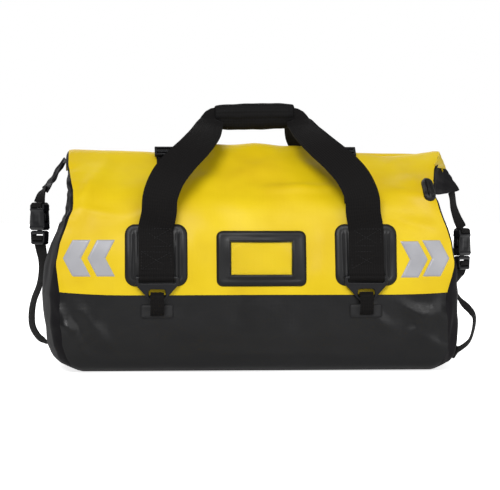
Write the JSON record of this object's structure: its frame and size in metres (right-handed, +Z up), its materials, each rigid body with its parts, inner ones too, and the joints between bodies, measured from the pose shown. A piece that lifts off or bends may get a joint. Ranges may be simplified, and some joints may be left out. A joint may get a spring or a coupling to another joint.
{
  "type": "duffel bag",
  "caption": "Waterproof roll-top duffel bag with webbing carry handles, joined grip, triangle rings, end straps with side-release buckles and a card window.",
  "frame": {"origin": "on the ground under the middle of the bag", "axes": "+X along the bag, the front with the card window faces -Y, +Z up"},
  "size_m": [0.6756, 0.3418, 0.3934],
  "materials": {
    "tarpaulin_yellow": "PVC-coated, satin",
    "tarpaulin_black": "PVC-coated, soft gloss",
    "end_tarpaulin": "PVC-coated, satin",
    "moulded_patch": "moulded PVC, satin",
    "webbing": "woven polyester",
    "grip_cloth": "laminated cloth",
    "foam": "closed-cell foam",
    "acetal": "moulded, fine texture",
    "clear_vinyl": "clear film",
    "reflective_grey": "retroreflective film",
    "rubber": "matt",
    "stiffener": "extruded"
  },
  "bodies": {
    "bag": {"air_valve": "rubber", "anchor_tab_front_left": "webbing", "anchor_tab_front_right": "webbing", "anchor_tab_rear_left": "webbing", "anchor_tab_rear_right": "webbing", "base_shell": "tarpaulin_black", "buckle_plug_left": "acetal", "buckle_plug_right": "acetal", "buckle_socket_left": "acetal", "buckle_socket_right": "acetal", "card_frame": "moulded_patch", "card_pane": "clear_vinyl", "closure_stiffeners": "stiffener", "closure_tab_left": "end_tarpaulin", "closure_tab_right": "end_tarpaulin", "end_panel_left": "end_tarpaulin", "end_panel_right": "end_tarpaulin", "end_strap_lower_left": "webbing", "end_strap_lower_right": "webbing", "end_strap_upper_left": "webbing", "end_strap_upper_right": "webbing", "handle_patch_front_left": "moulded_patch", "handle_patch_front_right": "moulded_patch", "handle_patch_rear_left": "moulded_patch", "handle_patch_rear_right": "moulded_patch", "reflective_arrows_left": "reflective_grey", "reflective_arrows_right": "reflective_grey", "rolled_closure": "tarpaulin_yellow", "seam_tape_front": "tarpaulin_black", "seam_tape_rear": "tarpaulin_black", "sewn_webbing_front_left": "webbing", "sewn_webbing_front_right": "webbing", "sewn_webbing_rear_left": "webbing", "sewn_webbing_rear_right": "webbing", "slider_left": "acetal", "slider_right": "acetal", "strap_anchor_left": "end_tarpaulin", "strap_anchor_right": "end_tarpaulin", "top_strap_left": "webbing", "top_strap_right": "webbing", "upper_shell": "tarpaulin_yellow"},
    "carry_handle": {"handle_webbing_front": "webbing", "handle_webbing_rear": "webbing", "grip_wrap": "grip_cloth", "grip_core": "foam"},
    "grip_cover": {"grip_flap": "grip_cloth"},
    "ring_front_left": {"triangle_ring_front_left": "acetal"},
    "ring_front_right": {"triangle_ring_front_right": "acetal"},
    "ring_rear_left": {"triangle_ring_rear_left": "acetal"},
    "ring_rear_right": {"triangle_ring_rear_right": "acetal"},
    "prong_left_front": {"buckle_prong_left_front": "acetal"},
    "prong_left_rear": {"buckle_prong_left_rear": "acetal"},
    "prong_right_rear": {"buckle_prong_right_rear": "acetal"},
    "prong_right_front": {"buckle_prong_right_front": "acetal"}
  },
  "joints": [
    {"name": "handle_lift", "type": "slide", "parent": "bag", "child": "carry_handle", "axis": [0, 0, 1], "range_m": [-0.018, 0.016]},
    {"name": "grip_flap_hinge", "type": "hinge", "parent": "carry_handle", "child": "grip_cover", "pos_m": [0, 0.006, 0.3924], "axis": [-1, 0, 0], "range_deg": [0, 150]},
    {"name": "ring_hinge_front_left", "type": "hinge", "parent": "bag", "child": "ring_front_left", "pos_m": [-0.149, -0.1589, 0.136], "axis": [-1, 0, 0], "range_deg": [0, 8]},
    {"name": "ring_hinge_front_right", "type": "hinge", "parent": "bag", "child": "ring_front_right", "pos_m": [0.149, -0.1589, 0.136], "axis": [-1, 0, 0], "range_deg": [0, 8]},
    {"name": "ring_hinge_rear_left", "type": "hinge", "parent": "bag", "child": "ring_rear_left", "pos_m": [-0.149, 0.1589, 0.136], "axis": [1, 0, 0], "range_deg": [0, 8]},
    {"name": "ring_hinge_rear_right", "type": "hinge", "parent": "bag", "child": "ring_rear_right", "pos_m": [0.149, 0.1589, 0.136], "axis": [1, 0, 0], "range_deg": [0, 8]},
    {"name": "prong_squeeze_left_front", "type": "hinge", "parent": "bag", "child": "prong_left_front", "pos_m": [-0.31393, 0.02557, 0.202], "axis": [-0.766, -0.6428, 0], "range_deg": [0, 8], "stiffness_Nm_per_rad": 0.4},
    {"name": "prong_squeeze_left_rear", "type": "hinge", "parent": "bag", "child": "prong_left_rear", "pos_m": [-0.32807, 0.04243, 0.202], "axis": [0.766, 0.6428, 0], "range_deg": [0, 8], "stiffness_Nm_per_rad": 0.4},
    {"name": "prong_squeeze_right_rear", "type": "hinge", "parent": "bag", "child": "prong_right_rear", "pos_m": [0.32807, 0.04243, 0.163], "axis": [0.766, -0.6428, 0], "range_deg": [0, 8], "stiffness_Nm_per_rad": 0.4},
    {"name": "prong_squeeze_right_front", "type": "hinge", "parent": "bag", "child": "prong_right_front", "pos_m": [0.31393, 0.02557, 0.163], "axis": [-0.766, 0.6428, 0], "range_deg": [0, 8], "stiffness_Nm_per_rad": 0.4}
  ]
}
